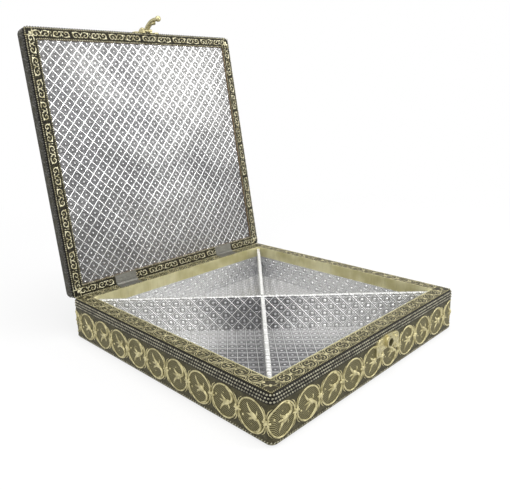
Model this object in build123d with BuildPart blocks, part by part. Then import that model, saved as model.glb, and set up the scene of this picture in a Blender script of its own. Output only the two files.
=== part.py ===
# A square box for dry fruit. A wooden carcase is dressed in thin embossed sheet, two crossed
# dividers part it into four triangles, and a shallow lid stands open on two butt hinges.
# Millimetres, +Z up, +Y towards the hinges, origin under the middle of the base.
# Pieces of the lid are drawn closed and then turned open about the hinge axis.

import os

from build123d import *

# Box and lid
box_side = 230.0
corner_radius = 5.0
base_height = 36.0
lid_height = 13.5
closing_gap = 0.5
lid_open_angle = 100.0

# Sheet, rims and rounded edges
sheet = 0.4
rim_round = 3.0
base_foot_round = 2.0
lid_top_round = 2.5
base_rim_width = 12.5
lid_rim_width = 10.6
least_corner = 0.5

# Base floor, feet and linings
felt_thickness = 0.6
felt_inset = 3.0
side_sheet_fold = 7.0
floor_board = 2.7
floor_foil = 0.3
wall_card = 0.5
gold_band_height = 10.0

# Dividers
divider_thickness = 3.6
divider_drop = 2.0
divider_top_round = 1.0
lap_clearance = 0.1
seat_clearance = 0.05

# Lid inside
lid_recess = 1.5
lid_foil = 0.3
lid_top_board = 4.0

# Butt hinges
hinge_spread = 122.0
hinge_back_inset = 1.6
leaf_width = 22.0
leaf_length = 8.8
leaf_thickness = 1.0
leaf_corner = 0.6
barrel_radius = 1.5
hinge_pin_radius = 0.7
running_clearance = 0.05
lid_knuckle = 8.6
knuckle_gap = 0.2
gain_clearance = 0.1
barrel_clearance = 0.3
screw_spread = 12.0
screw_from_axis = 5.2
screw_head_radius = 1.9
screw_shank_radius = 0.9
screw_length = 7.5

# Latch
latch_x = 9.0
latch_plate = 1.2
latch_half_width = 15.5
wing_rise = 5.8
catch_lobe_drop = 9.0
leaf_wing_z = 43.4
leaf_lobe_drop = 5.6
latch_pivot_height = 38.5
latch_pivot_out = 2.4
latch_barrel_radius = 1.6
latch_pin_radius = 0.7
tongue_width = 4.8
tongue_thickness = 2.2
tongue_ear = 3.0
tongue_rest_angle = 10.0
stud_reach = 13.1
stud_radius = 2.0
stud_tip_out = 0.3
arch_out = 3.6
arch_reach = 9.2
ball_reach = 21.3
ball_out = 1.8
ball_radius = 2.75
socket_outer_radius = 4.3
socket_bore_radius = 3.1
socket_proud = 3.8
dome_height = 45.2
dome_radius = 4.2
dome_proud = 7.6
nail_radius = 0.6
nail_head_radius = 1.2
nail_head_height = 0.6
nail_length = 6.0

# Places worked out from the sizes
half = box_side / 2
base_inner = half - base_rim_width
lid_inner = half - lid_rim_width
floor_bottom = felt_thickness + sheet
floor_top = floor_bottom + floor_board
floor_face = floor_top + floor_foil
lining_face = base_inner - wall_card
band_bottom = base_height - gold_band_height
lid_bottom = base_height + closing_gap
lid_top = lid_bottom + lid_height
lid_board_bottom = lid_top - sheet - lid_top_board
hinge_y = half - hinge_back_inset
hinge_z = base_height + closing_gap / 2
hinge_axis = Axis((0, hinge_y, hinge_z), (1, 0, 0))
latch_pivot_y = -half - latch_pivot_out
latch_axis = Axis((latch_x, latch_pivot_y, latch_pivot_height), (1, 0, 0))
socket_z = latch_pivot_height - stud_reach
quarter_turns = {"front": 0, "right": 90, "back": 180, "left": 270}
beyond = 20.0
overrun = 1.0

os.makedirs("parts", exist_ok=True)


def save(shape, label):
    shape.label = label
    export_step(shape, f"parts/{label}.step")


def save_open(shape, label):
    save(shape.rotate(hinge_axis, -lid_open_angle), label)


# A square block with round upright corners, and its lower or upper edge rounded
def rounded_block(inset, bottom, top, foot_round=0.0, top_round=0.0):
    side = box_side - 2 * inset
    with BuildPart() as block:
        with BuildSketch(Plane.XY.offset(bottom)):
            RectangleRounded(side, side, max(corner_radius - inset, least_corner))
        extrude(amount=top - bottom)
        if foot_round:
            fillet(block.faces().sort_by(Axis.Z)[0].edges(), foot_round)
        if top_round:
            fillet(block.faces().sort_by(Axis.Z)[-1].edges(), top_round)
    return block.part


# A plain square block about the middle of the box
def square_block(half_side, bottom, top):
    with BuildPart() as block:
        with Locations((0, 0, bottom)):
            Box(2 * half_side, 2 * half_side, top - bottom, align=(Align.CENTER, Align.CENTER, Align.MIN))
    return block.part


# The space of one side: all that lies nearer to it than to its neighbours
def mitre_space(side, bottom, top):
    reach = half + beyond
    with BuildPart() as space:
        with BuildSketch(Plane.XY.offset(bottom)):
            with BuildLine():
                Polyline((0, 0), (-reach, -reach), (reach, -reach), close=True)
            make_face()
        extrude(amount=top - bottom)
    return space.part.rotate(Axis.Z, quarter_turns[side])


# The space of one butted side: front and back run full width, left and right between them
def butt_space(side, inner, bottom, top):
    long_side = side in ("front", "back")
    run = 2 * (half + beyond) if long_side else 2 * inner
    with BuildPart() as space:
        with Locations((0, -inner, bottom)):
            Box(run, half + beyond - inner, top - bottom, align=(Align.CENTER, Align.MAX, Align.MIN))
    return space.part.rotate(Axis.Z, quarter_turns[side])


# A rod along Y, for a bore or nail in the front faces
def rod_y(x, z, radius, near, far):
    with BuildPart() as rod:
        with BuildSketch(Plane(origin=(x, near, z), x_dir=(1, 0, 0), z_dir=(0, 1, 0))):
            Circle(radius)
        extrude(amount=far - near)
    return rod.part


# A rod along X about a given axis line
def rod_x(y, z, radius, left, right):
    with BuildPart() as rod:
        with BuildSketch(Plane.YZ.offset(left)):
            with Locations((y, z)):
                Circle(radius)
        extrude(amount=right - left)
    return rod.part


hinge_centres = [-hinge_spread / 2, hinge_spread / 2]
screw_places = [(hinge_x + side * screw_spread / 2, hinge_y - screw_from_axis)
                for hinge_x in hinge_centres for side in (-1, 1)]


# A countersunk screw with its head flush at face_z, pointing down or up, grown by a clearance
def screw(x, y, face_z, direction, clearance=0.0):
    head = screw_head_radius + clearance
    shank = screw_shank_radius + clearance
    slope = head - shank
    plane = Plane(origin=(x, y, face_z), x_dir=(1, 0, 0), z_dir=(0, -direction, 0))
    with BuildPart() as body:
        with BuildSketch(plane):
            with BuildLine():
                Polyline((0, 0), (head, 0), (shank, -slope), (shank, -screw_length - clearance),
                         (0, -screw_length - clearance), close=True)
            make_face()
        revolve(axis=Axis((x, y, face_z), (0, 0, 1)))
    return body.part


# What a hinge needs cut from the wood and rim sheet: the gain, the barrel's room, the screws
def hinge_cuts(low, high, face_z, direction):
    width = leaf_width + 2 * gain_clearance
    with BuildPart() as cuts:
        for hinge_x in hinge_centres:
            with Locations((hinge_x, hinge_y - leaf_length - gain_clearance, low)):
                Box(width, leaf_length + hinge_back_inset + beyond, high - low,
                    align=(Align.CENTER, Align.MIN, Align.MIN))
            add(rod_x(hinge_y, hinge_z, barrel_radius + barrel_clearance,
                      hinge_x - width / 2, hinge_x + width / 2))
        for x, y in screw_places:
            add(screw(x, y, face_z, direction, running_clearance))
    return cuts.part


def nail_cuts(places, near):
    with BuildPart() as cuts:
        for x, z in places:
            add(rod_y(x, z, nail_radius + running_clearance, near, near + nail_length + overrun))
    return cuts.part


base_hinge_cuts = hinge_cuts(base_height - leaf_thickness, base_height + beyond, base_height, 1)
lid_hinge_cuts = hinge_cuts(lid_bottom - beyond, lid_bottom + leaf_thickness, lid_bottom, -1)
catch_nail_places = [(latch_x - 11.5, 19.0), (latch_x + 11.5, 19.0)]
leaf_nail_places = [(latch_x - 11.5, 44.0), (latch_x + 11.5, 44.0)]
catch_nail_cuts = nail_cuts(catch_nail_places, -half)
leaf_nail_cuts = nail_cuts(leaf_nail_places, -half)

# Felt and floor board
save(rounded_block(felt_inset, 0, felt_thickness), "base_felt")
floor = rounded_block(sheet, floor_bottom, floor_top, foot_round=base_foot_round - sheet)
save(floor, "base_floor_board")

# Side sheet of the base, folded under the floor board
rim_start = base_height - rim_round
with BuildPart() as base_side_sheet:
    add(rounded_block(0, felt_thickness, rim_start, foot_round=base_foot_round))
    add(rounded_block(sheet, floor_bottom, rim_start, foot_round=base_foot_round - sheet),
        mode=Mode.SUBTRACT)
    add(rounded_block(side_sheet_fold, felt_thickness, floor_bottom), mode=Mode.SUBTRACT)
    add(catch_nail_cuts, mode=Mode.SUBTRACT)
save(base_side_sheet.part, "base_side_sheet")

# Wooden walls of the base
with BuildPart() as base_carcase:
    add(rounded_block(sheet, floor_top, base_height - sheet, top_round=rim_round - sheet))
    add(square_block(base_inner, floor_top, base_height), mode=Mode.SUBTRACT)
    add(base_hinge_cuts, mode=Mode.SUBTRACT)
    add(catch_nail_cuts, mode=Mode.SUBTRACT)

# Rim sheet of the base, rounded over the outer edge
with BuildPart() as base_rim:
    add(rounded_block(0, rim_start - overrun, base_height, top_round=rim_round))
    add(rounded_block(sheet, rim_start - overrun, base_height - sheet, top_round=rim_round - sheet),
        mode=Mode.SUBTRACT)
    add(square_block(base_inner, rim_start - overrun, base_height), mode=Mode.SUBTRACT)
    add(base_hinge_cuts, mode=Mode.SUBTRACT)

for side in quarter_turns:
    with BuildPart() as wall:
        add(base_carcase.part)
        add(butt_space(side, base_inner, 0, base_height), mode=Mode.INTERSECT)
    save(wall.part, f"base_{side}_wall")
    with BuildPart() as rim:
        add(base_rim.part)
        add(mitre_space(side, rim_start, base_height), mode=Mode.INTERSECT)
    save(rim.part, f"base_rim_{side}")


# A thin strip along the inside of one wall
def wall_strip(side, bottom, top):
    with BuildPart() as strip:
        add(square_block(base_inner, bottom, top))
        add(square_block(lining_face, bottom, top), mode=Mode.SUBTRACT)
        add(butt_space(side, lining_face, bottom, top), mode=Mode.INTERSECT)
    return strip.part


save(square_block(base_inner, floor_top, floor_face), "floor_lining")
for side in quarter_turns:
    save(wall_strip(side, floor_face, band_bottom), f"wall_lining_{side}")
    save(wall_strip(side, band_bottom, base_height), f"gold_band_{side}")


# A corner-to-corner divider, half-lapped at the middle from the top or from the bottom
def divider(turn, lap_from_top):
    top = base_height - divider_drop
    middle = (floor_face + top) / 2
    lap_low = middle if lap_from_top else floor_face
    along = Axis((0, 0, 0), (1, 0, 0))
    with BuildPart() as board:
        with Locations((0, 0, floor_face)):
            Box(4 * half, divider_thickness, top - floor_face, align=(Align.CENTER, Align.CENTER, Align.MIN))
        fillet(board.faces().sort_by(Axis.Z)[-1].edges().filter_by(along), divider_top_round)
        with Locations((0, 0, lap_low)):
            Box(divider_thickness + lap_clearance, 2 * divider_thickness, (top - floor_face) / 2,
                align=(Align.CENTER, Align.CENTER, Align.MIN), mode=Mode.SUBTRACT)
    with BuildPart() as fitted:
        add(board.part.rotate(Axis.Z, turn))
        add(square_block(lining_face - seat_clearance, floor_face, top), mode=Mode.INTERSECT)
    return fitted.part


save(divider(45, lap_from_top=True), "divider_front_left_to_back_right")
save(divider(-45, lap_from_top=False), "divider_front_right_to_back_left")

# Wooden rails, top board and packing board of the lid
lid_rim_end = lid_bottom + rim_round


# The outer form of the lid, with its lower edge rounded
def lid_block(inset, top):
    return rounded_block(inset, lid_bottom + inset, top, foot_round=rim_round - inset)


with BuildPart() as lid_frame:
    add(lid_block(sheet, lid_board_bottom))
    add(square_block(lid_inner, lid_bottom, lid_board_bottom), mode=Mode.SUBTRACT)
    add(lid_hinge_cuts, mode=Mode.SUBTRACT)
    add(leaf_nail_cuts, mode=Mode.SUBTRACT)

with BuildPart() as lid_rim_ring:
    add(lid_block(0, lid_rim_end + overrun))
    add(lid_block(sheet, lid_rim_end + overrun), mode=Mode.SUBTRACT)
    add(square_block(lid_inner, lid_bottom, lid_rim_end + overrun), mode=Mode.SUBTRACT)
    add(lid_hinge_cuts, mode=Mode.SUBTRACT)

for side in quarter_turns:
    with BuildPart() as rail:
        add(lid_frame.part)
        add(butt_space(side, lid_inner, 0, lid_top), mode=Mode.INTERSECT)
    save_open(rail.part, f"lid_{side}_rail")
    with BuildPart() as rim:
        add(lid_rim_ring.part)
        add(mitre_space(side, lid_bottom, lid_rim_end), mode=Mode.INTERSECT)
    save_open(rim.part, f"lid_rim_{side}")

lid_board = rounded_block(sheet, lid_board_bottom, lid_top - sheet, top_round=lid_top_round - sheet)
save_open(lid_board, "lid_top_board")
panel_face = lid_bottom + lid_recess
save_open(square_block(lid_inner, panel_face + lid_foil, lid_board_bottom), "lid_packing_board")
save_open(square_block(lid_inner, panel_face, panel_face + lid_foil), "lid_lining_panel")

# Side and top sheets of the lid
lid_side_end = lid_top - lid_top_round
with BuildPart() as lid_side_sheet:
    add(rounded_block(0, lid_rim_end, lid_side_end))
    add(rounded_block(sheet, lid_rim_end, lid_side_end), mode=Mode.SUBTRACT)
    add(leaf_nail_cuts, mode=Mode.SUBTRACT)
save_open(lid_side_sheet.part, "lid_side_sheet")

with BuildPart() as lid_top_sheet:
    add(rounded_block(0, lid_side_end - overrun, lid_top, top_round=lid_top_round))
    add(rounded_block(sheet, lid_side_end - overrun, lid_top - sheet, top_round=lid_top_round - sheet),
        mode=Mode.SUBTRACT)
    add(square_block(half, lid_side_end - overrun, lid_side_end), mode=Mode.SUBTRACT)
save_open(lid_top_sheet.part, "lid_top_sheet")


# A hinge leaf with its knuckles. The base leaf has the two outer knuckles, the lid leaf the middle.
def hinge_leaf(hinge_x, for_lid):
    low = lid_bottom if for_lid else base_height - leaf_thickness
    face_z = lid_bottom if for_lid else base_height
    own_half = lid_knuckle / 2
    other_half = own_half + knuckle_gap
    left, right = hinge_x - leaf_width / 2, hinge_x + leaf_width / 2
    with BuildPart() as leaf:
        with Locations((hinge_x, hinge_y, low)):
            Box(leaf_width, leaf_length, leaf_thickness, align=(Align.CENTER, Align.MAX, Align.MIN))
        inner_edges = leaf.edges().filter_by(Axis.Z).group_by(Axis.Y)[0]
        fillet(inner_edges, leaf_corner)
        room = barrel_radius + knuckle_gap
        if for_lid:
            add(rod_x(hinge_y, hinge_z, room, left - overrun, hinge_x - own_half), mode=Mode.SUBTRACT)
            add(rod_x(hinge_y, hinge_z, room, hinge_x + own_half, right + overrun), mode=Mode.SUBTRACT)
            add(rod_x(hinge_y, hinge_z, barrel_radius, hinge_x - own_half, hinge_x + own_half))
        else:
            add(rod_x(hinge_y, hinge_z, room, hinge_x - other_half, hinge_x + other_half),
                mode=Mode.SUBTRACT)
            add(rod_x(hinge_y, hinge_z, barrel_radius, left, hinge_x - other_half))
            add(rod_x(hinge_y, hinge_z, barrel_radius, hinge_x + other_half, right))
        add(rod_x(hinge_y, hinge_z, hinge_pin_radius + running_clearance, left, right), mode=Mode.SUBTRACT)
        for x, y in screw_places:
            if left < x < right:
                add(screw(x, y, face_z, -1 if for_lid else 1, running_clearance), mode=Mode.SUBTRACT)
    return leaf.part


for name, hinge_x in zip(("left", "right"), hinge_centres):
    save(hinge_leaf(hinge_x, for_lid=False), f"hinge_{name}_base_leaf")
    save_open(hinge_leaf(hinge_x, for_lid=True), f"hinge_{name}_lid_leaf")
    pin = rod_x(hinge_y, hinge_z, hinge_pin_radius, hinge_x - leaf_width / 2, hinge_x + leaf_width / 2)
    save(pin, f"hinge_{name}_pin")

base_screws = [screw(x, y, base_height, 1) for x, y in screw_places]
lid_screws = [screw(x, y, lid_bottom, -1) for x, y in screw_places]
save(Compound(children=base_screws), "hinge_base_screws")
save_open(Compound(children=lid_screws), "hinge_lid_screws")


# The winged outline that both latch plates share: shoulders, wing tips, two lobes and an arch.
# Heights count from the wing tips, and the plate grows out of the front face.
def wing_plate(wing_z, lobe_drop):
    tip, lobe, waist = latch_half_width, 0.74 * latch_half_width, 0.55 * latch_half_width
    plane = Plane(origin=(latch_x, -half, wing_z), x_dir=(1, 0, 0), z_dir=(0, -1, 0))
    shoulder = wing_rise - 0.8
    with BuildPart() as plate:
        with BuildSketch(plane):
            with BuildLine():
                ThreePointArc((-waist, shoulder), (0, wing_rise), (waist, shoulder))
                for sign in (1, -1):
                    outer = 0.97 * sign * tip
                    ThreePointArc((sign * waist, shoulder), (0.86 * sign * tip, 0.6 * wing_rise), (sign * tip, 0))
                    ThreePointArc((sign * tip, 0), (0.96 * sign * tip, -0.3 * lobe_drop), (outer, -0.6 * lobe_drop))
                    ThreePointArc((outer, -0.6 * lobe_drop), (sign * lobe, -lobe_drop),
                                  (sign * waist, -0.6 * lobe_drop))
                ThreePointArc((waist, -0.6 * lobe_drop), (0, -0.5 * lobe_drop), (-waist, -0.6 * lobe_drop))
            make_face()
        extrude(amount=latch_plate)
    return plate.part


# Catch on the base: winged plate with a raised round socket for the tongue's stud
with BuildPart() as catch:
    add(wing_plate(socket_z, catch_lobe_drop))
    add(rod_y(latch_x, socket_z, socket_outer_radius, -half - socket_proud, -half))
    add(rod_y(latch_x, socket_z, socket_bore_radius, -half - beyond, -half + overrun), mode=Mode.SUBTRACT)
    for x, z in catch_nail_places:
        add(rod_y(x, z, nail_radius + running_clearance, -half - beyond, -half), mode=Mode.SUBTRACT)
save(catch.part, "latch_catch_plate")


# Round-headed nails through a latch plate
def nails(places):
    bodies = []
    for x, z in places:
        with BuildPart() as nail:
            add(rod_y(x, z, nail_radius, -half - latch_plate, -half - latch_plate + nail_length))
            add(rod_y(x, z, nail_head_radius, -half - latch_plate - nail_head_height, -half - latch_plate))
            fillet(nail.edges().group_by(Axis.Y)[0], 0.8 * nail_head_height)
        bodies.append(nail.part)
    return Compound(children=bodies)


save(nails(catch_nail_places), "latch_catch_nails")
save_open(nails(leaf_nail_places), "latch_leaf_nails")

# Lid leaf of the latch: winged plate, domed boss and two ears for the tongue's pin
ear_start = tongue_width / 2 + knuckle_gap
ear_end = ear_start + tongue_ear
with BuildPart() as latch_leaf:
    add(wing_plate(leaf_wing_z, leaf_lobe_drop))
    with Locations((latch_x, -half, leaf_wing_z)):
        Box(2 * ear_end, latch_plate, leaf_wing_z - latch_pivot_height + latch_barrel_radius,
            align=(Align.CENTER, Align.MAX, Align.MAX))
    add(rod_x(latch_pivot_y, latch_pivot_height, latch_barrel_radius, latch_x - ear_end, latch_x + ear_end))
    with BuildSketch(Plane(origin=(latch_x, -half, dome_height), x_dir=(1, 0, 0), z_dir=(0, 0, 1))):
        with BuildLine():
            Line((0, 0), (dome_radius, 0))
            Line((dome_radius, 0), (dome_radius, -latch_plate))
            ThreePointArc((dome_radius, -latch_plate), (0.72 * dome_radius, -0.72 * dome_proud), (0, -dome_proud))
            Line((0, -dome_proud), (0, 0))
        make_face()
    revolve(axis=Axis((latch_x, 0, dome_height), (0, 1, 0)))
    with Locations((latch_x, -half, latch_pivot_height)):
        Box(2 * ear_start, 4 * latch_barrel_radius + 2 * latch_pivot_out, 2 * (latch_barrel_radius + barrel_clearance),
            mode=Mode.SUBTRACT)
    add(rod_x(latch_pivot_y, latch_pivot_height, latch_pin_radius + running_clearance,
              latch_x - beyond, latch_x + beyond), mode=Mode.SUBTRACT)
    for x, z in leaf_nail_places:
        add(rod_y(x, z, nail_radius + running_clearance, -half - beyond, -half), mode=Mode.SUBTRACT)
save_open(latch_leaf.part, "latch_lid_leaf")

latch_pin = rod_x(latch_pivot_y, latch_pivot_height, latch_pin_radius, latch_x - ear_end, latch_x + ear_end)
save_open(latch_pin, "latch_pin")

# Tongue, drawn seated in the socket: an arched arm with a snap stud under it and a ball for the finger.
# At rest it stands off the seat by its rest angle.
tongue_plane = Plane(origin=(latch_x, latch_pivot_y, latch_pivot_height), x_dir=(0, 0, -1), z_dir=(1, 0, 0))
tongue_half = tongue_thickness / 2
with BuildPart() as tongue:
    with BuildSketch(tongue_plane):
        with BuildLine():
            root_out, root_in = (0, -0.8 * latch_barrel_radius), (0.8 * latch_barrel_radius, 0)
            tip_out, tip_in = (ball_reach, -ball_out - tongue_half), (ball_reach, -ball_out + tongue_half)
            ThreePointArc(root_out, (arch_reach, -arch_out - tongue_half), tip_out)
            Line(tip_out, tip_in)
            ThreePointArc(tip_in, (arch_reach, -arch_out + tongue_half), root_in)
            Line(root_in, root_out)
        make_face()
    extrude(amount=tongue_width / 2, both=True)
    add(rod_x(latch_pivot_y, latch_pivot_height, latch_barrel_radius,
              latch_x - tongue_width / 2, latch_x + tongue_width / 2))
    with Locations((latch_x, latch_pivot_y - ball_out, latch_pivot_height - ball_reach)):
        Sphere(ball_radius)
    add(rod_y(latch_x, socket_z, stud_radius, latch_pivot_y - arch_out, latch_pivot_y - stud_tip_out))
    add(rod_x(latch_pivot_y, latch_pivot_height, latch_pin_radius + running_clearance,
              latch_x - beyond, latch_x + beyond), mode=Mode.SUBTRACT)
save_open(tongue.part.rotate(latch_axis, -tongue_rest_angle), "latch_tongue")
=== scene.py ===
# Dry fruit box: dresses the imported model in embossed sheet, foil and cast gold, and lights it.
import bpy, bmesh, math
from mathutils import Matrix, Vector


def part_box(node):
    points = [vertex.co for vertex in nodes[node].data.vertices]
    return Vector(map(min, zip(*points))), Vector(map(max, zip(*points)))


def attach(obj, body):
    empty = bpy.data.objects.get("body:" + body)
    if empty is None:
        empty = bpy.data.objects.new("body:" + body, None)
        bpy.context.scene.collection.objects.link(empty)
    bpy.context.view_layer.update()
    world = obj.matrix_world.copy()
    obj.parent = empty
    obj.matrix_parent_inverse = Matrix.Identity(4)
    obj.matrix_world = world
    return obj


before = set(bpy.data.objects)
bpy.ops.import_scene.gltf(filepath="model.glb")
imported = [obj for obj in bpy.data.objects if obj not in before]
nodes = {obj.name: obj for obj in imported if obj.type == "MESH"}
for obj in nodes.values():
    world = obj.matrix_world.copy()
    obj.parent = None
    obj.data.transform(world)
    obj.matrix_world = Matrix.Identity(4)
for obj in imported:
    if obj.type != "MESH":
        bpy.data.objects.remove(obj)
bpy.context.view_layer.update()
mm = 0.001
print("frame loaded")

# Sizes that the pieces share, in millimetres, turned to metres where a piece is made
box = {"half": 115.0, "corner": 5.0, "baseTop": 36.0, "lidFace": 36.5, "lidTop": 50.0,
       "rimWidth": 12.5, "rimRound": 3.0, "hingeY": 113.4, "hingeZ": 36.25, "open": 100.0,
       "latchX": 9.0}
sides = {"front": 0, "right": 90, "back": 180, "left": 270}

openAngle = math.radians(box["open"])
toHinge = Matrix.Translation((0, box["hingeY"], box["hingeZ"]))
openLid = toHinge @ Matrix.Rotation(-openAngle, 4, "X") @ toHinge.inverted()
toMetres = Matrix.Scale(mm, 4)
faceDown = Matrix.Rotation(math.pi, 4, "X")
straightRun = 2 * (box["half"] - box["corner"])
cornerRun = math.pi / 2 * box["corner"]
perimeter = 4 * (straightRun + cornerRun)

# Camera fitted to the corners of the box in the photograph
camera = {"place": (-0.3236, -0.3081, 0.2046), "azimuth": -44.32, "elevation": 13.64,
          "roll": -1.63, "lens": 39.13, "shift": (0.0268, -0.0387), "sensor": 36}


def addCamera():
    data = bpy.data.cameras.new("camera")
    data.sensor_width, data.lens = camera["sensor"], camera["lens"]
    data.shift_x, data.shift_y = camera["shift"]
    data.clip_start, data.clip_end = 0.01, 20
    eye = bpy.data.objects.new("camera", data)
    eye.matrix_world = (Matrix.Translation(camera["place"])
                        @ Matrix.Rotation(math.radians(camera["azimuth"]), 4, "Z")
                        @ Matrix.Rotation(math.radians(90 - camera["elevation"]), 4, "X")
                        @ Matrix.Rotation(math.radians(camera["roll"]), 4, "Z"))
    bpy.context.collection.objects.link(eye)
    bpy.context.scene.camera = eye


addCamera()
print("camera placed")


# Shader sums: a wire is a socket that can be added, multiplied and compared like a number
class Wire:
    def __init__(self, tree, socket):
        self.tree, self.socket = tree, socket

    def calc(self, operation, *values):
        return addNode(self.tree, "ShaderNodeMath", {"operation": operation},
                       dict(enumerate(values)))

    def __add__(self, other): return self.calc("ADD", self, other)
    def __radd__(self, other): return self.calc("ADD", other, self)
    def __sub__(self, other): return self.calc("SUBTRACT", self, other)
    def __rsub__(self, other): return self.calc("SUBTRACT", other, self)
    def __mul__(self, other): return self.calc("MULTIPLY", self, other)
    def __rmul__(self, other): return self.calc("MULTIPLY", other, self)
    def __truediv__(self, other): return self.calc("DIVIDE", self, other)
    def __rtruediv__(self, other): return self.calc("DIVIDE", other, self)
    def fract(self): return self.calc("FRACT", self)
    def size(self): return self.calc("ABSOLUTE", self)
    def wave(self): return self.calc("SINE", self)
    def root(self): return self.calc("SQRT", self)
    def most(self, other): return self.calc("MAXIMUM", self, other)

    # A soft step from start to end while this number goes from low to high
    def step(self, low, high, start=0.0, end=1.0):
        return addNode(self.tree, "ShaderNodeMapRange", {"interpolation_type": "SMOOTHSTEP"},
                       {"Value": self, "From Min": low, "From Max": high,
                        "To Min": start, "To Max": end})

    # The other outputs of the node that this wire comes from
    def beside(self, name):
        return Wire(self.tree, self.socket.node.outputs[name])


def fillSocket(tree, socket, value):
    if isinstance(value, Wire):
        tree.links.new(value.socket, socket)
    elif socket.type == "RGBA":
        socket.default_value = (*value, 1)
    else:
        socket.default_value = value


def addNode(tree, kind, settings, values, output=0):
    node = tree.nodes.new(kind)
    for key, value in settings.items():
        setattr(node, key, value)
    for key, value in values.items():
        fillSocket(tree, node.inputs[key], value)
    return Wire(tree, node.outputs[output])


# Two colours mixed; a Mix node's colours are its inputs 6 and 7 and its output 2
def mix(factor, low, high):
    return addNode(factor.tree, "ShaderNodeMix", {"data_type": "RGBA"},
                   {0: factor, 6: low, 7: high}, 2)


def nodeOfType(tree, kind):
    return next(node for node in tree.nodes if node.type == kind)


# One finish: a Principled shader with its coordinates in millimetres, lid pieces as if closed
class Finish:
    def __init__(self, name, onLid=False):
        self.material = bpy.data.materials.new(name)
        self.material.use_nodes = True
        self.tree = self.material.node_tree
        self.shader = nodeOfType(self.tree, "BSDF_PRINCIPLED")
        angle = openAngle if onLid else 0
        hinge = Vector((0, box["hingeY"], box["hingeZ"]))
        shift = hinge - Matrix.Rotation(angle, 4, "X") @ hinge
        spot = addNode(self.tree, "ShaderNodeTexCoord", {}, {}, "Object")
        self.spot = addNode(self.tree, "ShaderNodeMapping", {"vector_type": "POINT"},
                            {"Vector": spot, "Scale": (1 / mm,) * 3, "Location": shift,
                             "Rotation": (angle, 0, 0)})
        self.x = addNode(self.tree, "ShaderNodeSeparateXYZ", {}, {0: self.spot})
        self.y, self.z = self.x.beside("Y"), self.x.beside("Z")

    def noise(self, scale, detail=3.0, stretch=(1, 1, 1)):
        place = addNode(self.tree, "ShaderNodeMapping", {},
                        {"Vector": self.spot, "Scale": stretch})
        return addNode(self.tree, "ShaderNodeTexNoise", {},
                       {"Vector": place, "Scale": scale, "Detail": detail})

    def cells(self, scale):
        return addNode(self.tree, "ShaderNodeTexVoronoi", {},
                       {"Vector": self.spot, "Scale": scale})

    def bump(self, height, depth):
        normal = addNode(self.tree, "ShaderNodeBump", {},
                         {"Height": height, "Distance": depth * mm, "Strength": 1.0})
        fillSocket(self.tree, self.shader.inputs["Normal"], normal)

    def paint(self, colour, roughness, metallic, gloss=0.5):
        for key, value in (("Base Color", colour), ("Roughness", roughness),
                           ("Metallic", metallic), ("Specular IOR Level", gloss)):
            fillSocket(self.tree, self.shader.inputs[key], value)
        return self.material


# Each gold is a pair: the patina left in patches, and the rubbed metal
gold = {"side": ((0.34, 0.3, 0.145), (0.62, 0.56, 0.31)),
        "bead": ((0.15, 0.14, 0.1), (0.40, 0.38, 0.28)),
        "rim": ((0.2, 0.18, 0.085), (0.55, 0.50, 0.29)),
        "lidRim": ((0.36, 0.32, 0.17), (0.80, 0.75, 0.52)),
        "lidSteel": ((0.035, 0.034, 0.03), (0.13, 0.127, 0.115)),
        "strip": ((0.56, 0.51, 0.25), (0.80, 0.75, 0.46))}
dark = {"olive": (0.17, 0.152, 0.072), "deep": (0.045, 0.04, 0.02),
        "black": (0.012, 0.011, 0.009), "gun": (0.04, 0.039, 0.036)}


# Raised work rubbed to pale gold, with patina left in patches
def rubbedGold(name, tone, onLid=False):
    finish = Finish(name, onLid)
    patch = finish.noise(0.35, 4).step(0.35, 0.6)
    grain = finish.noise(2.6, 2)
    finish.bump(grain, 0.12)
    return finish.paint(mix(patch, *gold[tone]), grain.step(0.2, 0.8, 0.34, 0.52), 0.5)


sideSheet = {"ground": (0.1, 0.09, 0.045), "rope": (0.3, 0.28, 0.16), "blackFrom": (27.6, 28.8),
             "footBelow": (2.4, 3.4), "ropeTwist": 3.6}


# Ground of the base's side sheet: dark olive, black under the beads, a roped edge at the foot
def sideGround(name):
    finish = Finish(name)
    worn = finish.noise(0.3, 5).step(0.35, 0.7)
    grain = finish.noise(1.6, 3)
    above = finish.z.step(*sideSheet["blackFrom"])
    foot = 1 - finish.z.step(*sideSheet["footBelow"])
    twist = ((finish.x + finish.y + finish.z) * sideSheet["ropeTwist"]).wave().step(-0.2, 0.6)
    colour = mix(worn * grain.step(0.3, 0.6), dark["deep"], sideSheet["ground"])
    colour = mix(above, colour, dark["black"])
    colour = mix(foot * twist * 0.6, colour, sideSheet["rope"])
    finish.bump(grain + foot * twist * 1.5, 0.35)
    return finish.paint(colour, 0.5, 0.4, 0.25)


hatching = {"pitch": 5.6, "slope": 0.8, "groove": (0.05, 0.043, 0.018),
            "ridge": (0.36, 0.325, 0.165)}


# Inside each roundel: fine slanting hatch lines, crossed by fainter ones
def hatched(name):
    finish = Finish(name)
    rise = finish.z * hatching["slope"]
    hatch = ((finish.x + finish.y + rise) * hatching["pitch"]).wave()
    cross = ((finish.x + finish.y - rise) * hatching["pitch"]).wave()
    worn = finish.noise(0.25, 4).step(0.3, 0.7)
    colour = mix((hatch + cross * 0.25).step(-0.5, 0.7), hatching["groove"], hatching["ridge"])
    colour = mix(worn * 0.4, colour, dark["olive"])
    finish.bump(hatch, 0.3)
    return finish.paint(colour, 0.5, 0.4, 0.25)


rimEdge = {"black": 1.0, "fade": 0.5}


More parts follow.
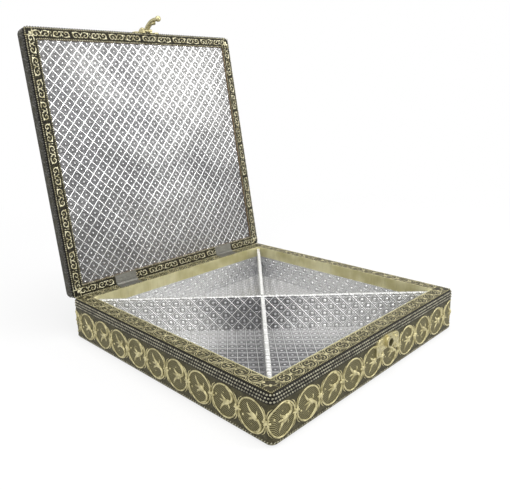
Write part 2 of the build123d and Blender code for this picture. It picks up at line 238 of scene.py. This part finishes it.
# Stippled ground between the scrolls of the rims, black towards the outer edge
def stippledGround(name, onLid, deep, pale):
    finish = Finish(name, onLid)
    pit = finish.cells(0.9)
    worn = finish.noise(0.5, 4).step(0.35, 0.65)
    edge = box["half"] - rimEdge["black"]
    outer = finish.x.size().most(finish.y.size()).step(edge - rimEdge["fade"], edge)
    colour = mix(worn * pit.step(0.1, 0.5), deep, pale)
    colour = mix(outer, colour, dark["black"])
    finish.bump(pit, 0.4)
    return finish.paint(colour, 0.48, 0.4, 0.2)


# Gunmetal sheet with a pebbled emboss, on the lid's sides and top
def gunmetal(name):
    finish = Finish(name, True)
    pebble = finish.cells(0.62)
    cloud = finish.noise(0.12, 4).step(0.3, 0.7)
    colour = mix(cloud * pebble.step(0.1, 0.7), dark["deep"], dark["gun"])
    finish.bump(pebble + finish.noise(1.2, 2), 0.7)
    return finish.paint(colour, 0.42, 0.5, 0.25)


# Gold lacquered strip with upright creases, which vary along the strip and hardly across it
def goldStrip(name, stretch):
    finish = Finish(name)
    crease = finish.noise(0.16, 3, stretch)
    soft = finish.noise(0.05, 2)
    finish.bump(crease, 2.4)
    return finish.paint(mix(soft.step(0.3, 0.7), *gold["strip"]), 0.36, 0.3)


# Dull and bright tone of each foil, and how dark its pressed lines are. All four are one foil: the
# lid's copy is painted darker as painted shade, and the walls' copy is painted near white, with
# lighter pressed lines, as painted light
silver = {"floor": ((0.34, 0.34, 0.35), (0.95, 0.95, 0.94), 0.85),
          "wall": ((0.93, 0.93, 0.94), (0.98, 0.98, 0.97), 0.5),
          "divider": ((0.36, 0.36, 0.37), (0.95, 0.95, 0.94), 0.85),
          "lid": ((0.19, 0.19, 0.195), (0.33, 0.33, 0.325), 0.9)}
# In foil, line is the painted highlight on the raised lines and studs, and pressed the painted shade
# in the rings and grooves
foil = {"acrossX": 10.6, "acrossY": 11.4, "slant": 0.7071, "brightLine": (0.435, 0.47),
        "fineLine": (0.44, 0.47), "groove": (0.33, 0.37), "ringRadius": 2.0, "ringEdge": (0.3, 0.85),
        "studEdge": (0.35, 0.85), "relief": 0.8, "sag": 5.0, "patch": 0.013,
        "line": (0.92, 0.92, 0.91), "pressed": (0.05, 0.05, 0.05)}
# Where painted shade darkens the foil: a patch in the nearest compartment and one on the divider
# behind it
paintedShadePatch = {"ragged": 30, "floorAt": (-28, -62), "floorReach": (35, 110),
             "dividerAt": -2, "dividerReach": (20, 90)}
dividerTop = {"from": (33.2, 33.6), "colour": (0.8, 0.8, 0.78)}


# Silver foil pressed with a diamond lattice and a ring with a stud in each diamond, with painted
# highlight on its raised lines and studs, painted shade in its rings and grooves, and patches
# painted lighter and darker as painted reflection and shade
def silverFoil(name, plane, low, high, depth, onLid=False):
    finish = Finish(name, onLid)
    x, y, z = finish.x, finish.y, finish.z
    across, up = {"flat": (x, y), "alongX": (x, z), "alongY": (y, z),
                  "rising": ((x + y) * foil["slant"], z),
                  "falling": ((x - y) * foil["slant"], z)}[plane]
    left = (across / foil["acrossX"] + up / foil["acrossY"]).fract() - 0.5
    right = (across / foil["acrossX"] - up / foil["acrossY"]).fract() - 0.5
    bright = left.size().step(*foil["brightLine"])
    fine = right.size().step(*foil["fineLine"])
    groove = left.size().most(right.size()).step(*foil["groove"]) * (1 - bright.most(fine))
    offX = (left + right) * (foil["acrossX"] / 2)
    offY = (left - right) * (foil["acrossY"] / 2)
    away = (offX * offX + offY * offY).root()
    ring = 1 - (away - foil["ringRadius"]).size().step(*foil["ringEdge"])
    stud = 1 - away.step(*foil["studEdge"])
    grain = finish.noise(1.1, 3)
    wave = finish.noise(0.016, 1)
    finish.bump(bright + fine * 0.7 - ring * 0.8 - groove * 0.4 + stud * 0.8 + grain * 0.3
                + wave * foil["sag"], foil["relief"])
    # Painted reflection: low-frequency patches of lighter and darker foil stand in for the buckled
    # foil's varied reflections
    paintedReflectionAndShade = finish.noise(foil["patch"], 1).step(0.35, 0.65)
    if plane == "flat" and not onLid:  # painted shade: one darker patch in the nearest compartment
        offX, offY = x - paintedShadePatch["floorAt"][0], y - paintedShadePatch["floorAt"][1]
        away = (offX * offX + offY * offY).root()
        paintedReflectionAndShade = (away + paintedReflectionAndShade * paintedShadePatch["ragged"]).step(*paintedShadePatch["floorReach"])
    if plane == "falling":  # and painted shade on the divider behind it
        away = (across - paintedShadePatch["dividerAt"]).size()
        paintedReflectionAndShade = (away + paintedReflectionAndShade * paintedShadePatch["ragged"]).step(*paintedShadePatch["dividerReach"])
    pale = mix(paintedReflectionAndShade, low, high)
    # Painted highlight on the raised lines and studs, then painted shade in the pressed rings and
    # grooves
    pale = mix(bright.most(fine * 0.8).most(stud), pale, foil["line"])
    colour = mix(1 - (ring * 0.6 + groove * 0.55) * depth, foil["pressed"], pale)
    if plane in ("rising", "falling"):  # the plain strip over the divider's edge
        colour = mix(z.step(*dividerTop["from"]), colour, dividerTop["colour"])
    return finish.paint(colour, grain.step(0.2, 0.8, 0.15, 0.25), 0.9 if onLid else 0.5)


def plainMetal(name, colour, roughness, metallic, patina=0.72, gloss=0.5):
    finish = Finish(name)
    grain = finish.noise(1.8, 3)
    cloud = finish.noise(0.25, 3).step(0.3, 0.7)
    pit = finish.cells(0.5).step(0.15, 0.55)
    finish.bump(grain + pit, 0.2)
    tone = mix(cloud * (1 - pit * 0.6), tuple(patina * part for part in colour), colour)
    return finish.paint(tone, grain.step(0.2, 0.8, roughness - 0.07, roughness + 0.1),
                        metallic, gloss)


boards = {"low": (0.2, 0.13, 0.07), "high": (0.36, 0.25, 0.14)}
felt = {"low": (0.008, 0.008, 0.009), "high": (0.03, 0.03, 0.032)}


def fibreboard(name):
    finish = Finish(name)
    fibre = finish.noise(1.5, 5, (1, 1, 0.3))
    finish.bump(fibre, 0.2)
    return finish.paint(mix(fibre, boards["low"], boards["high"]), 0.8, 0.0)


def feltCloth(name):
    finish = Finish(name)
    fuzz = finish.noise(3.5, 6)
    finish.bump(fuzz, 0.3)
    return finish.paint(mix(fuzz, felt["low"], felt["high"]), 0.95, 0.0, 0.05)


rimPale = (0.04, 0.035, 0.017)
paints = {
    "baseGold": rubbedGold("rubbed gold on the base", "side"),
    "lidGold": rubbedGold("rubbed gold on the lid", "lidRim", True),
    "beadGold": rubbedGold("pale rubbed beads", "bead"),
    "lidSteel": rubbedGold("rubbed gunmetal on the lid", "lidSteel", True),
    "rimGold": rubbedGold("rubbed gold on the rim", "rim"),
    "sideGround": sideGround("olive side ground"),
    "hatched": hatched("hatched roundel ground"),
    "rimGround": stippledGround("stippled rim ground", False, dark["deep"], rimPale),
    "lidRimGround": stippledGround("stippled lid rim ground", True, dark["black"], dark["deep"]),
    "gunmetal": gunmetal("pebbled gunmetal"),
    "stripX": goldStrip("gold strip along x", (1, 0.1, 0.12)),
    "stripY": goldStrip("gold strip along y", (0.1, 1, 0.12)),
    "foilFlat": silverFoil("silver foil on the floor", "flat", *silver["floor"]),
    "foilLid": silverFoil("silver foil in the lid", "flat", *silver["lid"], True),
    "foilX": silverFoil("silver foil along x", "alongX", *silver["wall"]),
    "foilY": silverFoil("silver foil along y", "alongY", *silver["wall"]),
    "foilRising": silverFoil("silver foil on the rising divider", "rising", *silver["divider"]),
    "foilFalling": silverFoil("silver foil on the falling divider", "falling",
                              *silver["divider"]),
    "steel": plainMetal("grey hinge steel", (0.25, 0.245, 0.215), 0.42, 0.85),
    "brass": plainMetal("bright gold casting", (0.80, 0.72, 0.40), 0.3, 0.75, 0.5),
    # Painted shade: a black disc that darkens the socket's hole
    "socketShade": plainMetal("painted shade in the socket", (0.004, 0.004, 0.004), 0.9, 0.0, 0.72, 0.0),
    "board": fibreboard("fibreboard"),
    "felt": feltCloth("black felt"),
}
print("finishes made")

# Which finish each carried-over piece of the model takes, by its name or the start of it
fullNames = {"floor_lining": "foilFlat", "lid_lining_panel": "foilLid",
             "base_side_sheet": "sideGround", "lid_side_sheet": "gunmetal",
             "lid_top_sheet": "gunmetal", "base_felt": "felt",
             "divider_front_left_to_back_right": "foilRising",
             "divider_front_right_to_back_left": "foilFalling"}
nameStarts = {"base_rim": "rimGround", "lid_rim": "lidRimGround", "hinge": "steel",
              "latch": "brass"}
bySide = {"gold_band": ("stripX", "stripY"), "wall_lining": ("foilX", "foilY")}


def finishFor(name):
    for start, (alongX, alongY) in bySide.items():
        if name.startswith(start):
            return alongX if name.endswith(("front", "back")) else alongY
    for start, paint in nameStarts.items():
        if name.startswith(start):
            return paint
    return fullNames.get(name, "board")


for name, piece in nodes.items():
    piece.data.materials.clear()
    piece.data.materials.append(paints[finishFor(name)])
print("model painted")


# Small shapes that the ornaments are made of, in millimetres on a flat ground, height along Z
def addLeaf(mesh, x, y, length, width, height, angle=0.0, around=8, rows=5):
    place = (Matrix.Translation((x, y, 0)) @ Matrix.Rotation(math.radians(angle), 4, "Z")
             @ Matrix.Diagonal((length / 2, width / 2, height, 1)))
    bmesh.ops.create_uvsphere(mesh, u_segments=around, v_segments=rows, radius=1, matrix=place)


def addRing(mesh, radius, width, height, steps):
    section = (Matrix.Translation((radius, 0, 0)) @ Matrix.Rotation(math.radians(90), 4, "X")
               @ Matrix.Diagonal((width / 2, height, 1, 1)))
    start = bmesh.ops.create_circle(mesh, segments=6, radius=1, matrix=section)["verts"]
    edges = list(dict.fromkeys(edge for vert in start for edge in vert.link_edges))
    bmesh.ops.spin(mesh, geom=start + edges, cent=(0, 0, 0), axis=(0, 0, 1), dvec=(0, 0, 0),
                   angle=2 * math.pi, steps=steps, use_merge=True)


# A raised line through points on the ground: taper is the share of its size that is left at
# its end, and blunt the share kept at both tips
def addStem(mesh, points, width, height, taper, blunt=0.45):
    spots = [Vector((*point, 0)) for point in points]
    last = len(spots) - 1
    frames = []
    for index, spot in enumerate(spots):
        along = (spots[min(index + 1, last)] - spots[max(index - 1, 0)]).normalized()
        across = Vector((along.y, -along.x, 0))
        share = 1 - (1 - taper) * index / last
        size = share if 0 < index < last else share * blunt
        axes = (across * width / 2 * size, Vector((0, 0, height * size)), along)
        frames.append(Matrix.Translation(spot) @ Matrix(axes).transposed().to_4x4())
    verts = bmesh.ops.create_circle(mesh, segments=6, radius=1, cap_ends=True,
                                    matrix=frames[0])["verts"]
    edges = list(dict.fromkeys(edge for vert in verts for edge in vert.link_edges))
    for before, after in zip(frames, frames[1:]):
        grown = bmesh.ops.extrude_edge_only(mesh, edges=edges)["geom"]
        verts = [part for part in grown if isinstance(part, bmesh.types.BMVert)]
        edges = [part for part in grown if isinstance(part, bmesh.types.BMEdge)
                 and all(vert in verts for vert in part.verts)]
        bmesh.ops.transform(mesh, matrix=after @ before.inverted(), verts=verts)
    bmesh.ops.contextual_create(mesh, geom=edges)


# How often each share of an ornament is drawn, and with which signs along x and y
mirrors = {"once": [(1, 1)], "halves": [(-1, 1), (1, 1)], "turned": [(-1, -1), (1, 1)],
           "stacked": [(1, -1), (1, 1)], "quarters": [(-1, -1), (-1, 1), (1, -1), (1, 1)]}


# Draws an ornament. A stem is its points, width, height and taper; a leaf its place, its length,
# width and height, its angle, and its faces round and down where it is a large one
def drawWork(mesh, work, up=1):
    for share, signs in mirrors.items():
        for kind, place, *rest in work.get(share, ()):
            for across, rise in signs:
                if kind == "stem":
                    points = [(x * across, y * rise * up) for x, y in place]
                    addStem(mesh, points, *rest)
                else:
                    size, angle, *faces = rest
                    addLeaf(mesh, place[0] * across, place[1] * rise * up, *size,
                            angle * across * rise * up, *faces)


# A shape kept as a plain mesh, to be stamped many times
def asUnit(name, draw, pressed=1.0):
    mesh = bmesh.new()
    draw(mesh)
    unit = bpy.data.meshes.new(name)
    mesh.to_mesh(unit)
    mesh.free()
    unit.transform(Matrix.Diagonal((1, 1, pressed, 1)))
    return unit


def stamp(mesh, unit, place):
    copy = unit.copy()
    copy.transform(place)
    mesh.from_mesh(copy)
    bpy.data.meshes.remove(copy)


def asObject(name, mesh, material):
    data = bpy.data.meshes.new(name)
    mesh.to_mesh(data)
    mesh.free()
    data.materials.append(material)
    thing = bpy.data.objects.new(name, data)
    bpy.context.collection.objects.link(thing)
    return thing


def makePiece(name, mesh, paint, body, warp=None):
    if warp:
        for vert in mesh.verts:
            vert.co = warp(vert.co)
    if body != "base":
        bmesh.ops.transform(mesh, matrix=openLid, verts=mesh.verts)
    bmesh.ops.transform(mesh, matrix=toMetres, verts=mesh.verts)
    bmesh.ops.recalc_face_normals(mesh, faces=mesh.faces)
    for face in mesh.faces:
        face.smooth = True
    piece = asObject(name, mesh, paints[paint])
    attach(piece, body)


# Wraps a flat strip, laid out by its run from the front left corner, round the rounded square
def wrapRound(spot):
    half, corner = box["half"], box["corner"]
    quarter, run = divmod(spot.x, straightRun + cornerRun)
    if run < straightRun:
        flat = Vector((run - half + corner, -half - spot.z, spot.y))
    else:
        angle = (run - straightRun) / corner
        reach = corner + spot.z
        flat = Vector((half - corner + reach * math.sin(angle),
                       corner - half - reach * math.cos(angle), spot.y))
    return Matrix.Rotation(quarter * math.pi / 2, 3, "Z") @ flat


def sideTurn(name):
    return Matrix.Rotation(math.radians(sides[name]), 4, "Z")


# A straight line of small strokes along each side, stopping at the corners
def lineOfStrokes(mesh, unit, inset, level, pitch, turn=Matrix.Identity(4)):
    reach = box["half"] - inset
    count = round(2 * reach / pitch)
    for name in sides:
        for index in range(count):
            along = -reach + (index + 0.5) * 2 * reach / count
            place = Matrix.Translation((along, -reach, level))
            stamp(mesh, unit, sideTurn(name) @ place @ turn)


hingeRoom = {"beside": 0.1, "reach": 8.9}


# Cuts the ornament away where the hinge leaves are let into the rims, and closes the cut ends
def clearHinges(mesh):
    inner = box["hingeY"] - hingeRoom["reach"]
    for name in ("left", "right"):
        low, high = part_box(f"hinge_{name}_lid_leaf")
        first = low.x / mm - hingeRoom["beside"]
        last = high.x / mm + hingeRoom["beside"]
        for spot, facing in (((first, 0, 0), (1, 0, 0)), ((last, 0, 0), (1, 0, 0)),
                             ((0, inner, 0), (0, 1, 0))):
            whole = list(mesh.verts) + list(mesh.edges) + list(mesh.faces)
            bmesh.ops.bisect_plane(mesh, geom=whole, plane_co=spot, plane_no=facing, dist=0.0001)
        middles = ((face, face.calc_center_median()) for face in mesh.faces)
        gone = [face for face, middle in middles
                if middle.y > inner and first < middle.x < last]
        bmesh.ops.delete(mesh, geom=gone, context="FACES")
        ends = [edge for edge in mesh.edges if edge.is_boundary]
        bmesh.ops.holes_fill(mesh, edges=ends, sides=0)


# A roundel's sprig grows inside its ring, from above in one and from below in the next
vine = {"count": 38, "firstKnot": 16.7, "level": 15.7, "ring": (11.1, 1.25, 0.55, 30),
        "field": (22.2, 22.2, 0.16, 0, 28, 16)}
sprig = {"once": [
    ("stem", [(1.5, 10.2), (5.2, 8.6), (7.4, 5.6), (7.4, 3.0), (5.4, 1.2), (3.0, 0.4)],
     1.5, 0.8, 1.6),
    ("stem", [(2.6, 0.4), (0.2, 1.6), (-1.8, 2.9), (-2.8, 4.4)], 2.6, 0.95, 0.4),
    ("stem", [(2.4, -0.2), (-0.6, -0.3), (-4.4, 0.0)], 2.8, 0.95, 0.4),
    ("stem", [(1.8, -0.8), (-0.8, -2.6), (-2.6, -4.8), (-3.8, -7.4)], 2.6, 0.95, 0.4),
    ("stem", [(3.4, -0.6), (4.6, -2.6), (4.4, -4.8)], 2.1, 0.9, 0.4),
    ("leaf", (2.2, -0.2), (7.0, 4.2, 1.1), 35, 10, 6),
    ("leaf", (-7.2, 2.2), (1.9, 1.5, 0.6), 30),
    ("leaf", (-0.4, 5.6), (1.2, 0.9, 0.45), -20)]}

# The clasp between two roundels, with sprays that open above and below it
clasp = {
    "once": [("leaf", (0, 0), (4.6, 3.4, 1.1), 0, 10, 6)],
    "halves": [("leaf", (2.1, 0), (2.4, 1.6, 0.95), 0)],
    "quarters": [
        ("leaf", (1.3, 1.5), (2.6, 1.5, 0.9), 50),
        ("stem", [(0.3, 2.6), (0.7, 5.2), (1.7, 7.6), (3.8, 9.5)], 0.95, 0.6, 0.6)]}


def roundelUnits(order):
    def drawRoundel(mesh, up):
        addRing(mesh, *vine["ring"])
        drawWork(mesh, sprig, up)
    return [asUnit("roundel", lambda mesh: drawRoundel(mesh, up)) for up in order]


def addVineBand():
    pitch = perimeter / vine["count"]
    roundels = roundelUnits((-1, 1))
    field = asUnit("field", lambda mesh: addLeaf(mesh, 0, 0, *vine["field"]))
    knot = asUnit("clasp", lambda mesh: drawWork(mesh, clasp))
    mesh, fields = bmesh.new(), bmesh.new()
    for index in range(vine["count"]):
        run = vine["firstKnot"] + index * pitch
        centre = Matrix.Translation((run + pitch / 2, vine["level"], 0))
        stamp(mesh, knot, Matrix.Translation((run, vine["level"], 0)))
        stamp(mesh, roundels[index % 2], centre)
        stamp(fields, field, centre)
    makePiece("vine_band", mesh, "baseGold", "base", wrapRound)
    makePiece("roundel_fields", fields, "hatched", "base", wrapRound)


beads = {"pitch": 2.25, "levels": (29.6, 31.9, 34.1), "bead": (1.7, 1.35, 0.62, 0, 8, 4),
         "footLevel": 2.7, "footTurn": 0.9, "footScale": (1.1, 0.6, 0.6, 1)}


# Three rows of beads below the rim, the upper one on the rounded edge, and slanted strokes
# at the foot
def addBeadRows():
    bead = asUnit("bead", lambda mesh: addLeaf(mesh, 0, 0, *beads["bead"]))
    mesh = bmesh.new()
    count = round(perimeter / beads["pitch"])
    for row, level in enumerate(beads["levels"]):
        over = max(level - (box["baseTop"] - box["rimRound"]), 0)
        sunk = box["rimRound"] - math.sqrt(box["rimRound"] ** 2 - over ** 2)
        for index in range(count):
            run = (index + 0.5 * (row % 2)) * perimeter / count
            stamp(mesh, bead, Matrix.Translation((run, level, -sunk)))
    slant = (Matrix.Rotation(beads["footTurn"], 4, "Z")
             @ Matrix.Diagonal(beads["footScale"]))
    for index in range(count):
        place = Matrix.Translation((index * perimeter / count, beads["footLevel"], 0))
        stamp(mesh, bead, place @ slant)
    makePiece("bead_rows", mesh, "beadGold", "base", wrapRound)


# The base's rim border: links and crosses, pressed low so that the closed lid clears them
chain = {"count": 18, "ring": (4.7, 0.8, 0.5, 22), "fromEdge": 7.2, "pressed": 0.28,
         "stroke": (3.2, 0.45, 0.22, 0, 8, 4), "strokeInset": 0.5, "strokePitch": 3.0,
         "grain": (1.1, 0.6, 0.35, 30, 8, 4), "grainInset": 1.8, "grainPitch": 1.5,
         "grainSunk": 0.25}
link = {
    "once": [("leaf", (0, 0), (1.5, 1.5, 0.75), 0)],
    "turned": [
        ("stem", [(0.9, 2.9), (-1.2, 2.7), (-2.4, 1.2), (-1.8, -0.4), (-0.5, 0.4)],
         0.85, 0.5, 0.7),
        ("leaf", (2.2, 2.0), (1.9, 1.0, 0.5), 45)]}
cross = {
    "once": [("leaf", (0, 0), (3.4, 1.9, 0.85), 0), ("leaf", (0, 0), (1.8, 2.8, 0.8), 0)],
    "quarters": [("stem", [(0.2, 1.4), (0.5, 3.0), (1.7, 4.3), (3.0, 4.9)], 0.75, 0.45, 0.5)]}
diagonal = Matrix.Rotation(math.radians(45), 4, "Z")


def drawLink(mesh):
    addRing(mesh, *chain["ring"])
    drawWork(mesh, link)


def addRimChain():
    linkUnit = asUnit("link", drawLink, chain["pressed"])
    crossUnit = asUnit("cross", lambda mesh: drawWork(mesh, cross), chain["pressed"])
    stroke = asUnit("stroke", lambda mesh: addLeaf(mesh, 0, 0, *chain["stroke"]))
    grain = asUnit("grain", lambda mesh: addLeaf(mesh, 0, 0, *chain["grain"]))
    mesh = bmesh.new()
    level = box["baseTop"]
    across = chain["fromEdge"] - box["half"]
    run = -2 * across / chain["count"]
    lineOfStrokes(mesh, stroke, box["rimWidth"] - chain["strokeInset"], level,
                  chain["strokePitch"])
    lineOfStrokes(mesh, grain, chain["grainInset"], level - chain["grainSunk"],
                  chain["grainPitch"])
    for name in sides:
        for index in range(chain["count"]):
            along = across + index * run
            if index:
                place = Matrix.Translation((along, across, level))
                stamp(mesh, linkUnit, sideTurn(name) @ place)
            place = Matrix.Translation((along + run / 2, across, level))
            stamp(mesh, crossUnit, sideTurn(name) @ place)
        corner = Matrix.Translation((across, across, level)) @ diagonal
        stamp(mesh, crossUnit, sideTurn(name) @ corner)
    clearHinges(mesh)
    makePiece("base_rim_chain", mesh, "rimGold", "base")


addVineBand()
addBeadRows()
addRimChain()
print("base ornaments made")

# The lid's rim border: a palmette between two scrolls in each panel, also pressed low
scrolls = {"count": 12, "middle": 5.7, "squash": (1, 0.84, 1, 1), "pressed": 0.38,
           "cornerPressed": 0.27}
palmette = {
    "once": [("stem", [(0, -2.8), (0, -0.8), (0, 1.6)], 1.0, 0.6, 0.8)],
    "halves": [
        ("stem", [(2.2, 2.6), (4.2, 2.9), (6.4, 2.3), (7.3, 0.2), (6.2, -2.2), (4.2, -2.5),
                  (3.0, -1.0), (4.0, 0.4), (5.0, -0.3)], 1.0, 0.55, 0.75),
        ("leaf", (6.9, 1.9), (2.4, 1.6, 0.6), 40),
        ("stem", [(0, 0.2), (1.2, 1.4), (1.3, 2.9)], 0.9, 0.55, 0.8),
        ("leaf", (1.5, -2.3), (2.2, 1.1, 0.5), 15)],
    "stacked": [("leaf", (9.1, 1.6), (0.6, 2.2, 0.5), 0)]}


def addLidScrolls():
    panel = asUnit("scroll", lambda mesh: drawWork(mesh, palmette), scrolls["pressed"])
    leaf = asUnit("lidCorner", lambda mesh: drawWork(mesh, cross), scrolls["cornerPressed"])
    mesh = bmesh.new()
    across = scrolls["middle"] - box["half"]
    run = -2 * across / scrolls["count"]
    squash = Matrix.Diagonal(scrolls["squash"])
    for name in sides:
        for index in range(scrolls["count"]):
            along = across + (index + 0.5) * run
            flip = Matrix.Rotation(math.pi * (index % 2), 4, "Z")
            place = Matrix.Translation((along, across, box["lidFace"]))
            stamp(mesh, panel, sideTurn(name) @ place @ faceDown @ flip @ squash)
        corner = Matrix.Translation((across, across, box["lidFace"])) @ diagonal
        stamp(mesh, leaf, sideTurn(name) @ corner @ faceDown)
    clearHinges(mesh)
    makePiece("lid_rim_scrolls", mesh, "lidGold", "lid")


rope = {"pitch": 1.7, "insets": (1.4, 10.15), "twist": (1.5, 0.5, 0.22, 35, 8, 4)}


# Twisted lines along the outer and inner edges of the lid's rim
def addLidRopes():
    twist = asUnit("twist", lambda mesh: addLeaf(mesh, 0, 0, *rope["twist"]))
    mesh = bmesh.new()
    for inset in rope["insets"]:
        lineOfStrokes(mesh, twist, inset, box["lidFace"], rope["pitch"], faceDown)
    clearHinges(mesh)
    makePiece("lid_rim_ropes", mesh, "lidGold", "lid")


lidSide = {"count": 96, "level": 43.2, "beadsEach": 4, "beadLevels": (38.3, 47.0),
           "bead": (1.6, 1.1, 0.4, 0, 8, 4)}
wornScroll = {"once": [
    ("stem", [(-3.4, -2.2), (-1.6, -2.9), (-0.2, -1.6), (0.2, 0.6), (1.4, 2.4), (3.2, 2.2)],
     1.2, 0.45, 0.6),
    ("leaf", (-2.0, 1.4), (2.8, 1.2, 0.4), 40),
    ("leaf", (2.4, -1.2), (2.8, 1.2, 0.4), 40)]}


# Worn scrolls and two lines of beads on the lid's sides
def addLidSideWork():
    scroll = asUnit("sideScroll", lambda mesh: drawWork(mesh, wornScroll))
    bead = asUnit("sideBead", lambda mesh: addLeaf(mesh, 0, 0, *lidSide["bead"]))
    mesh = bmesh.new()
    pitch = perimeter / lidSide["count"]
    for index in range(lidSide["count"]):
        stamp(mesh, scroll, Matrix.Translation((index * pitch, lidSide["level"], 0)))
    beadPitch = pitch / lidSide["beadsEach"]
    for level in lidSide["beadLevels"]:
        for index in range(lidSide["beadsEach"] * lidSide["count"]):
            stamp(mesh, bead, Matrix.Translation((index * beadPitch, level, 0)))
    makePiece("lid_side_scrolls", mesh, "lidSteel", "lid", wrapRound)


medallion = {"rings": (12.0, 34.0, 38.5), "ring": (1.4, 0.6, 64), "petals": 16,
             "petalAt": 23, "petal": (19, 6.5, 0.9), "innerAt": 7.4, "inner": (6, 1.8, 0.6),
             "boss": (5, 5, 1.0, 0, 12, 6)}
border = {"inset": 14.0, "count": 9, "scale": (0.98, 0.98, 0.8, 1),
          "bead": (1.8, 1.8, 0.5, 0, 8, 4), "beadInset": 26.5, "beadPitch": 3.0}


def drawMedallion(mesh):
    for radius in medallion["rings"]:
        addRing(mesh, radius, *medallion["ring"])
    for index in range(medallion["petals"]):
        angle = 360 * index / medallion["petals"]
        away = Vector((math.cos(math.radians(angle)), math.sin(math.radians(angle))))
        addLeaf(mesh, *(away * medallion["petalAt"]), *medallion["petal"], angle, 12, 8)
        addLeaf(mesh, *(away * medallion["innerAt"]), *medallion["inner"], angle)
    addLeaf(mesh, 0, 0, *medallion["boss"])


# The lid's top: a petalled medallion, and a border of the same roundels as on the sides
def addLidTopWork():
    mesh = bmesh.new()
    stamp(mesh, asUnit("medallion", drawMedallion), Matrix.Translation((0, 0, box["lidTop"])))
    roundels = roundelUnits((1, -1))
    across = border["inset"] - box["half"]
    run = -2 * across / border["count"]
    for name in sides:
        for index in range(border["count"]):
            place = Matrix.Translation((across + index * run, across, box["lidTop"]))
            stamp(mesh, roundels[index % 2],
                  sideTurn(name) @ place @ Matrix.Diagonal(border["scale"]))
    bead = asUnit("topBead", lambda mesh: addLeaf(mesh, 0, 0, *border["bead"]))
    lineOfStrokes(mesh, bead, border["beadInset"], box["lidTop"], border["beadPitch"])
    makePiece("lid_top_work", mesh, "lidSteel", "lid")


addLidScrolls()
addLidRopes()
addLidSideWork()
addLidTopWork()
print("lid ornaments made")

# Cast detail on the latch: wing scrolls on both plates, and a black disc in the socket that is
# painted shade to make the hole read dark
casting = {"plate": 1.2, "socketZ": 25.4, "leafZ": 43.4, "shadeOut": 0.95,
           "shadeRadii": (3.05, 2.9), "shadeDepth": 0.2}
wings = {"halves": [
    ("stem", [(5.4, 3.4), (8.2, 4.3), (11.6, 4.0), (13.6, 1.8), (12.9, -0.6), (10.8, -0.9),
              (9.8, 0.8), (11.0, 1.8)], 1.3, 0.6, 0.6),
    ("stem", [(5.6, 1.4), (7.6, 0.2), (8.6, -2.2)], 1.2, 0.5, 0.5),
    ("leaf", (7.6, 2.4), (2.4, 1.2, 0.55), 20)]}


def onFront(out, level):
    return (Matrix.Translation((box["latchX"], -box["half"] - out, level))
            @ Matrix.Rotation(math.radians(90), 4, "X"))


def addLatchWork():
    for name, level, body in (("latch_catch_scrolls", casting["socketZ"], "base"),
                              ("latch_leaf_scrolls", casting["leafZ"], "lid")):
        mesh = bmesh.new()
        drawWork(mesh, wings)
        bmesh.ops.transform(mesh, matrix=onFront(casting["plate"], level), verts=mesh.verts)
        makePiece(name, mesh, "brass", body)
    # A black disc in the socket: painted shade that makes the hole read dark
    mesh = bmesh.new()
    low, high = casting["shadeRadii"]
    bmesh.ops.create_cone(mesh, cap_ends=True, segments=24, radius1=low, radius2=high,
                          depth=casting["shadeDepth"],
                          matrix=onFront(casting["shadeOut"], casting["socketZ"]))
    makePiece("latch_socket_shade", mesh, "socketShade", "base")


addLatchWork()
print("latch detail made")

# Floor and light
studio = {"floorSize": 12.0, "floorColour": (0.9, 0.9, 0.9), "floorRoughness": 0.9,
          "floorShow": 0.78, "fade": (0.3, 0.75), "world": 0.42}
lamps = {"key": {"place": (0.95, -1.1, 0.76), "target": (0, 0.1, 0.2), "size": 0.6,
                 "power": 9.5},
         "top": {"place": (0.0, -0.15, 1.5), "target": (0, 0, 0), "size": 0.8, "power": 13.0},
         "fill": {"place": (-1.1, -0.55, 1.3), "target": (0, 0, 0.05), "size": 0.9,
                  "power": 9.0}}


# 1 where a camera, a reflection or a clear material looks straight at a surface
def seenDirectly(tree):
    seen = addNode(tree, "ShaderNodeLightPath", {}, {}, "Is Camera Ray")
    return seen.most(seen.beside("Is Glossy Ray")).most(seen.beside("Is Transmission Ray"))


# White floor: seen mixed with plain white, wholly so away from the box, so the shadow stays
def addFloor():
    mesh = bmesh.new()
    bmesh.ops.create_grid(mesh, x_segments=1, y_segments=1, size=studio["floorSize"])
    material = bpy.data.materials.new("white floor")
    material.use_nodes = True
    tree = material.node_tree
    shader = nodeOfType(tree, "BSDF_PRINCIPLED")
    fillSocket(tree, shader.inputs["Base Color"], studio["floorColour"])
    fillSocket(tree, shader.inputs["Roughness"], studio["floorRoughness"])
    spot = addNode(tree, "ShaderNodeTexCoord", {}, {}, "Object")
    away = addNode(tree, "ShaderNodeVectorMath", {"operation": "LENGTH"}, {0: spot}, "Value")
    white = away.step(*studio["fade"], studio["floorShow"], 1.0)
    glow = addNode(tree, "ShaderNodeEmission", {}, {"Strength": 1.0, "Color": (1, 1, 1)})
    both = addNode(tree, "ShaderNodeMixShader", {},
                   {0: seenDirectly(tree) * white, 1: Wire(tree, shader.outputs[0]), 2: glow})
    fillSocket(tree, nodeOfType(tree, "OUTPUT_MATERIAL").inputs["Surface"], both)
    asObject("floor", mesh, material)


def addWorld():
    world = bpy.data.worlds.new("studio")
    bpy.context.scene.world = world
    world.use_nodes = True
    tree = world.node_tree
    background = nodeOfType(tree, "BACKGROUND")
    fillSocket(tree, background.inputs["Color"], (1, 1, 1))
    fillSocket(tree, background.inputs["Strength"],
               seenDirectly(tree).step(0, 1, studio["world"], 1.0))


def addLamp(name, place, target, size, power):
    data = bpy.data.lights.new(name, "AREA")
    data.size, data.energy = size, power
    lamp = bpy.data.objects.new(name, data)
    aim = (Vector(target) - Vector(place)).to_track_quat("-Z", "Y")
    lamp.matrix_world = Matrix.Translation(place) @ aim.to_matrix().to_4x4()
    bpy.context.collection.objects.link(lamp)


addFloor()
addWorld()
for name, lamp in lamps.items():
    addLamp(name, **lamp)
bpy.context.scene.view_settings.view_transform = "Standard"
print("studio lit")
